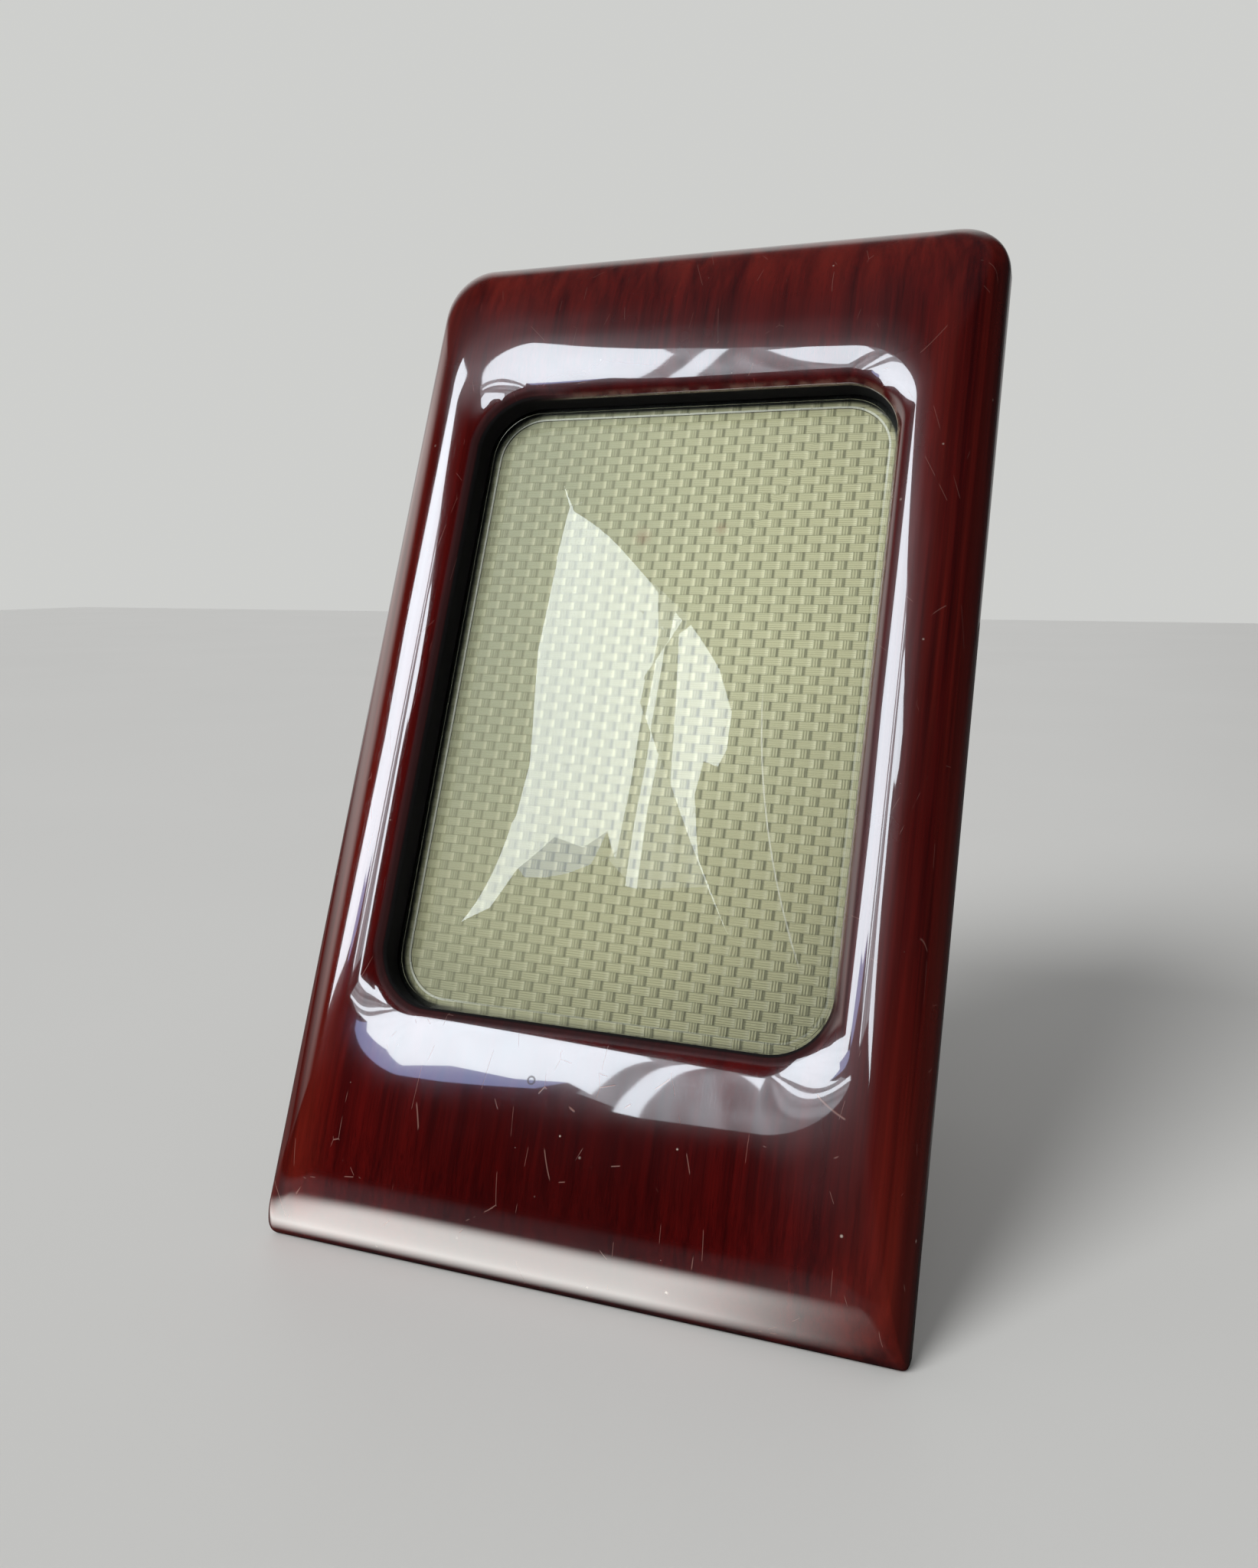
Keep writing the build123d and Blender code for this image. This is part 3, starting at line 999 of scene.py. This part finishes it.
def make_plain_wood(name, dark, light, width, turn):
    """Stained wood under a thin satin finish. turn lays the grain along the piece."""
    material, bench, shader, surface = new_material(name)
    place = bench.put(
        "ShaderNodeMapping",
        {"Vector": object_place(bench), "Rotation": (turn, 0, 0), "Scale": (1000, 1000, 1000)},
    )
    grain = use(
        bench,
        wood_grain,
        Place=place,
        Dark=dark,
        Light=light,
        Streak_Width=width,
        Streak_Length=26.0,
        Contrast=1.1,
    )
    marks = use(bench, handling_marks, Place=place, Scratch_Spacing=18.0)
    colour = grain["Colour"].coat(marks["Scratches"] * 0.5, (0.5, 0.33, 0.2, 1))
    pores = grain["Pores"]
    bench.dress(
        shader,
        Base_Color=colour,
        Roughness=grain["Figure"].rise(0.3, 0.7, 0.38, 0.55) + pores * 0.15,
        Normal=bump(bench, 1.0 - pores - marks["Scratches"] * 0.5, 0.00006),
    )
    return material


lacquered_mahogany = make_lacquered_mahogany()
clear_glass = make_clear_glass()
embossed_lining = make_embossed_lining()
brass = make_brass("aged_brass", 0)
brass_screws = make_brass("brass_screw_heads", 1)
panel_wood = make_plain_wood(
    "panel_wood", (0.10, 0.042, 0.018, 1), (0.24, 0.115, 0.052, 1), 1.6, lean - pi / 2
)
leg_wood = make_plain_wood(
    "leg_wood", (0.035, 0.008, 0.005, 1), (0.15, 0.040, 0.018, 1), 1.2, -pi / 2 - swing
)

# Pieces of the frame body

# Moulded board: up the outer wall, over the crest, down the window's wall and round the rebate
rows = []
for share, rise, top, foot in curve_through(moulding_table, section_steps):
    radii = corners(top * window_corner_radius, foot * window_corner_radius)
    rows.append((share, 0, rise * crest_height, radii))
rows[-1][3]["arris"] = 1.0
rebate_corner = corners(rebate_corner_radius)
window_corner = corners(window_corner_radius)
outer_top, outer_foot = (part * window_corner_radius for part in moulding_table[0][2:])
outer_corner = corners(outer_top, outer_foot)
back_corner = corners(outer_top - back_chamfer, outer_foot - back_chamfer)
rows += [
    (1, 0, (rows[-1][2] + rebate_depth) / 2, window_corner),
    (1, 0, rebate_depth, window_corner),
    (1, -rebate_width, rebate_depth, rebate_corner),
    (1, -rebate_width, rebate_depth / 2, rebate_corner),
    (1, -rebate_width, 0, rebate_corner),
    (0, back_chamfer, 0, back_corner),
    (0, 0, back_chamfer, outer_corner),
]
board_piece = grow(
    "moulded_frame",
    section_mesh("board_section", rows),
    moulded_board,
    lacquered_mahogany,
    width=frame_width,
    height=frame_height,
    side_margin=side_margin,
    top_margin=top_margin,
    bottom_margin=bottom_margin,
    corner_steps=18,
)
set_in_place(board_piece, board, bevel=lip_bevel * MM, level_foot=True)
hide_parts("wood_frame")
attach(board_piece, "frame_body")

# Domed glass: outer dome, its foot, the rim's edge, and back over the inner dome
dome_width = window_width - 2 * dome_inset
dome_length = window_height - 2 * dome_inset
dome_corner = window_corner_radius - dome_inset
rim_inset = glass_clearance - rebate_width - dome_inset
rim_corner = rebate_corner_radius - glass_clearance
rim_back = rebate_depth - glass_thickness
dome_steps = 44


def dome_rows(wall, level):
    """From the middle of a face of the dome to its foot."""
    rows = []
    for step in range(dome_steps + 1):
        scale = sin(step / dome_steps * pi / 2)
        radii = corners((dome_corner - wall) * scale, bow=1.0, bow_inset=wall)
        rows.append((1 - scale, wall * scale, level + dome_foot_step, radii))
    return rows


rows = dome_rows(0.0, rebate_depth)
rows += [
    (0, 0, rebate_depth + dome_foot_lift, corners(dome_corner)),
    (0, -dome_foot_spread, rebate_depth, corners(dome_corner)),
    (0, rim_inset + rim_fillet, rebate_depth, corners(rim_corner - rim_fillet)),
    (0, rim_inset, rebate_depth - rim_fillet, corners(rim_corner)),
    (0, rim_inset, rim_back + rim_fillet, corners(rim_corner)),
    (0, rim_inset + rim_fillet, rim_back, corners(rim_corner - rim_fillet)),
    (0, dome_wall - dome_foot_spread, rim_back, corners(dome_corner - dome_wall)),
    (0, dome_wall, rim_back + dome_foot_lift, corners(dome_corner - dome_wall)),
]
rows += reversed(dome_rows(dome_wall, rim_back))
glass_piece = grow(
    "clear_dome",
    section_mesh("glass_section", rows),
    domed_sheet,
    clear_glass,
    width=dome_width,
    height=dome_length,
    side_margin=dome_width / 2,
    top_margin=dome_length / 2,
    bottom_margin=dome_length / 2,
    corner_steps=16,
    closed_section=0,
    rise=dome_rise - dome_foot_step,
    across_power=dome_across_power,
    along_power=dome_along_power,
)
set_in_place(glass_piece, board @ Matrix.Translation((0, bottom_margin + dome_inset, 0)), radians(50))
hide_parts("domed_glass")
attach(glass_piece, "frame_body")

# Lining sheet with its raised weave
lining_back = rim_back - lining_thickness
sheet = bpy.data.meshes.new("lining_outline")
sheet_width = window_width + 2 * rebate_width - 2 * glass_clearance
sheet_height = window_height + 2 * rebate_width - 2 * glass_clearance
work = bmesh.new()
outline = []
for corner, (sx, sy) in enumerate(((1, 1), (-1, 1), (-1, -1), (1, -1))):
    for step in range(9):
        angle = (corner + step / 8) * pi / 2
        x = sx * (sheet_width / 2 - rim_corner) + rim_corner * cos(angle)
        y = sy * (sheet_height / 2 - rim_corner) + rim_corner * sin(angle)
        outline.append((x, y))
base = [work.verts.new((x, y, 0)) for x, y in outline]
crown = [work.verts.new((x, y, lining_base)) for x, y in outline]
work.faces.new(crown)
work.faces.new(base[::-1])
for i in range(len(base)):
    j = (i + 1) % len(base)
    work.faces.new((base[i], base[j], crown[j], crown[i]))
work.to_mesh(sheet)
work.free()
lining_piece = grow(
    "woven_lining",
    sheet,
    woven_sheet,
    embossed_lining,
    field_width=window_width + weave_overlap,
    field_height=window_height + weave_overlap,
    pitch_across=weave_pitch,
    row_height=weave_row,
    float_length=weave_float,
    relief=weave_relief,
)
lining_piece.data.transform(board @ Matrix.Translation((0, window_middle, lining_back)))
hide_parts("lining_sheet")
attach(lining_piece, "frame_body")


def screw_rows(radius, dome, cheek, shank_radius, shank_length):
    """Down from the middle of a domed head to its cheek and shank."""
    rows = []
    for step in range(9):
        reach = radius * sin(step / 8 * pi / 2)
        height = cheek + dome * cos(step / 8 * pi / 2)
        rows.append((0, radius - reach, height, corners(reach)))
    inset = radius - shank_radius
    return rows + [
        (0, 0, 0, corners(radius)),
        (0, inset, 0, corners(shank_radius)),
        (0, inset, -shank_length, corners(shank_radius)),
        (0, radius, -shank_length, corners(0)),
    ]


rear = Matrix.Rotation(pi, 4, "Y")
button_middle = (button_low + button_high) / 2
screw_sets = (
    (
        "turn_button_screw_heads",
        "turn_button_screws",
        screw_rows(button_head_radius, dome=0.95, cheek=0.35, shank_radius=1.25, shank_length=4.0),
        board @ Matrix.Translation((0, button_middle, -button_thickness)) @ rear,
        dict(
            head_diameter=2 * button_head_radius,
            slot_level=1.3,
            slot_depth=0.55,
            spacing_across=2 * button_pivot_across,
            spacing_along=button_high - button_low,
            seed=7,
        ),
    ),
    (
        "panel_leaf_screw_heads",
        "panel_leaf_screws",
        screw_rows(leaf_head_radius, dome=0.14, cheek=0.02, shank_radius=1.0, shank_length=2.4),
        board @ Matrix.Translation((0, pin_along - leaf_screw_along, -leaf_thickness)) @ rear,
        dict(
            head_diameter=2 * leaf_head_radius,
            slot_level=0.16,
            slot_width=0.45,
            slot_depth=0.4,
            spacing_across=leaf_screw_spacing,
            spacing_along=0.0,
            rows=1,
            seed=11,
        ),
    ),
)
for name, node, rows, place, values in screw_sets:
    piece = grow(name, section_mesh(name + "_section", rows), screw_set, brass_screws, **values)
    set_in_place(piece, place, radians(35))
    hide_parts(node)
    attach(piece, "frame_body")

# The solids whose shape is already right
finishes = {
    "back_panel": panel_wood,
    "easel_strut": leg_wood,
    "hinge_panel_leaf": brass,
    "hinge_strut_leaf": brass,
    "hinge_pin": brass,
    "turn_button_upper_left": brass,
    "turn_button_upper_right": brass,
    "turn_button_lower_left": brass,
    "turn_button_lower_right": brass,
    "strut_leaf_screws": brass_screws,
}
for name, material in finishes.items():
    slots = nodes[name].data.materials
    if not slots:
        slots.append(material)
    for index in range(len(slots)):
        slots[index] = material

# Floor, camera and lights

floor_mesh = bpy.data.meshes.new("floor")
floor_mesh.from_pydata([(-3, -3, 0), (3, -3, 0), (3, 3, 0), (-3, 3, 0)], [], [(0, 1, 2, 3)])
floor = new_object("floor", floor_mesh)
floor_material, bench, shader, surface = new_material("pale_floor")
floor_place = object_place(bench)
x, y, z = bench.parts(floor_place)
cloud = noise(bench, floor_place, 5.0, 3.0)
in_gloss = bench.fields(bench.put("ShaderNodeLightPath"))["Is Glossy Ray"]
pale = blend(bench, cloud, (0.64, 0.64, 0.625, 1), (0.68, 0.68, 0.665, 1))
# In gloss the floor is painted dark, except under the board, and glows with a painted sheen in front of
# the board's foot
sheen = y.rise(-0.064, -0.022) * y.fall(-0.0075, -0.0035)
sheen = sheen * x.fall(0.010, 0.056) * x.rise(-0.09, -0.05)
under = y.rise(0.04, 0.09) * x.size().fall(0.05, 0.08)
bench.dress(
    shader,
    Base_Color=pale.coat(in_gloss * (1.0 - under), (0.012, 0.012, 0.012, 1)),
    Roughness=0.5,
    Emission_Color=blend(bench, sheen * in_gloss, (0, 0, 0, 1), (1.0, 0.99, 0.95, 1)),
    Emission_Strength=4.8,
)
floor_material.cycles.emission_sampling = "NONE"
floor_mesh.materials.append(floor_material)

# Fitted to the photograph's edges of board and window
image_height = 2048.0
focal_length_in_pixels = 1680.8
sensor_width = 36.0
camera_place = (0.08332, -0.18340, 0.12051)
camera_pitch = radians(9.516)
camera_turn = radians(21.333)
camera_data = bpy.data.cameras.new("camera")
camera_data.sensor_fit = "AUTO"
camera_data.sensor_width = sensor_width
camera_data.lens = focal_length_in_pixels * sensor_width / image_height
camera_data.clip_start = 0.005
camera = new_object("camera", camera_data)
camera.location = camera_place
camera.rotation_euler = Euler((pi / 2 - camera_pitch, 0, camera_turn))
bpy.context.scene.camera = camera

middle = Vector((0, 0.043, 0.098))

# Tall glowing panes, seen only in gloss. A corner is (across, up) in millimetres on a plane that
# faces the middle of the frame, set back a little for the dimmer panes.
pane_azimuth = radians(-27.0)
pane_elevation = radians(38.0)
pane_distance = 0.75
panes = (
    # Broad left pane
    ("bright_pane", 0.0, (
        (-276, 214), (-8, 104), (14, 60), (27, -20), (50, -185), (22, -150), (-10, -182),
        (-59, -180), (-101, -245), (-294, -340), (-239, -106), (-283, -20), (-275, 92),
    )),
    # Narrow middle strip
    ("bright_pane", 0.0, ((28, 92), (46, 86), (98, -225), (78, -225))),
    # Right pane with its long tail
    ("bright_pane", 0.0, (
        (80, 66), (104, 80), (193, 74), (248, 54), (256, 26), (242, 8), (204, 2), (200, -30),
        (230, -64), (272, -116), (363, -206), (256, -174), (174, -102), (126, -18),
    )),
    # Dim folds behind the right pane
    ("dim_pane", 0.003, (
        (-20, 112), (90, 84), (136, -18), (180, -100), (250, -176), (98, -226), (40, -190),
        (26, -20), (12, 60),
    )),
    # Bluish strip under the left pane
    ("blue_pane", 0.002, (
        (22, -150), (-10, -182), (-59, -180), (-101, -245), (-84, -258), (-50, -248),
        (-20, -231), (12, -205),
    )),
)
away = Vector(
    (
        sin(pane_azimuth) * cos(pane_elevation),
        -cos(pane_azimuth) * cos(pane_elevation),
        sin(pane_elevation),
    )
)
pane_across = Vector((cos(pane_azimuth), sin(pane_azimuth), 0))
pane_up = away.cross(pane_across)
points, faces = [], []
for finish, set_back, outline in panes:
    start = len(points)
    plane = middle + away * (pane_distance + set_back)
    points += [plane + (pane_across * u + pane_up * v) * MM for u, v in outline]
    faces.append(range(start, len(points)))
pane_mesh = bpy.data.meshes.new("window_panes")
pane_mesh.from_pydata(points, [], faces)
pane_lamp = new_object("window_panes", pane_mesh)
pane_strengths = {"bright_pane": 8.2, "dim_pane": 2.2, "blue_pane": 3.4}
for name, strength in pane_strengths.items():
    pane_material, bench, shader, surface = new_material(name)
    x, y, z = bench.parts(object_place(bench))
    folds = noise(bench, bench.vector(x * 40.0, y * 4.0, z * 4.0), 1.0, 1.0).rise(0.3, 0.7)
    folds = folds if name == "dim_pane" else folds * 0.1 + 0.9
    tint = blend(bench, folds, (0.30, 0.33, 0.35, 1), (0.90, 0.98, 1.06, 1))
    if name == "blue_pane":
        tint = tint.coat(folds, (0.42, 0.53, 0.95, 1))
    bench.dress(shader, Base_Color=(0, 0, 0, 1), Emission_Color=tint, Emission_Strength=strength)
    pane_mesh.materials.append(pane_material)
for polygon, pane in zip(pane_mesh.polygons, panes):
    polygon.material_index = list(pane_strengths).index(pane[0])
pane_lamp.visible_camera = False
pane_lamp.visible_diffuse = False
pane_lamp.visible_transmission = False
pane_lamp.visible_volume_scatter = False
pane_lamp.visible_shadow = False

sun = bpy.data.lights.new("soft_key", "SUN")
sun.energy = 2.6
sun.angle = radians(28.0)
key = new_object("soft_key", sun)
key.rotation_euler = away.to_track_quat("Z", "Y").to_euler()
key.visible_glossy = False
key.visible_transmission = False

# Pale where it is seen, grey as light and dark in gloss
world = bpy.data.worlds.new("studio")
world.use_nodes = True
bpy.context.scene.world = world
world.cycles.sampling_method = "NONE"
world.node_tree.nodes.clear()
bench = Bench(world.node_tree)
ray = bench.fields(bench.put("ShaderNodeLightPath"))
coordinates = bench.put("ShaderNodeTexCoord")
x, y, z = bench.parts(coordinates.outputs["Generated"])
left = (-x).rise(0.80, 0.90) * z.rise(0.02, 0.3)
behind = y.rise(0.25, 0.6) * (0.3 - x).rise(0.0, 0.4)
above = z.rise(0.8, 0.95)
in_gloss = ray["Is Glossy Ray"]
gloss = blend(bench, behind, (0.008, 0.008, 0.009, 1), (0.62, 0.62, 0.61, 1))
gloss = gloss.coat(above, (0.035, 0.035, 0.04, 1))
gloss = gloss.coat(left, (1.15, 1.12, 1.08, 1))
through_glass = ray["Is Transmission Ray"] * (1.0 - ray["Diffuse Depth"].above(0.5))
seen = ray["Is Camera Ray"].most(through_glass)
ambient = blend(bench, x.rise(0.1, 0.8), (0.38, 0.38, 0.38, 1), (0.17, 0.17, 0.17, 1))
tone = ambient.coat(seen, (0.62, 0.625, 0.61, 1))
tone = tone.coat(in_gloss * (1.0 - seen), gloss)
background = bench.put("ShaderNodeBackground", {"Color": tone, "Strength": 1.0})
bench.put("ShaderNodeOutputWorld", {"Surface": background})

bpy.context.scene.view_settings.view_transform = "Standard"
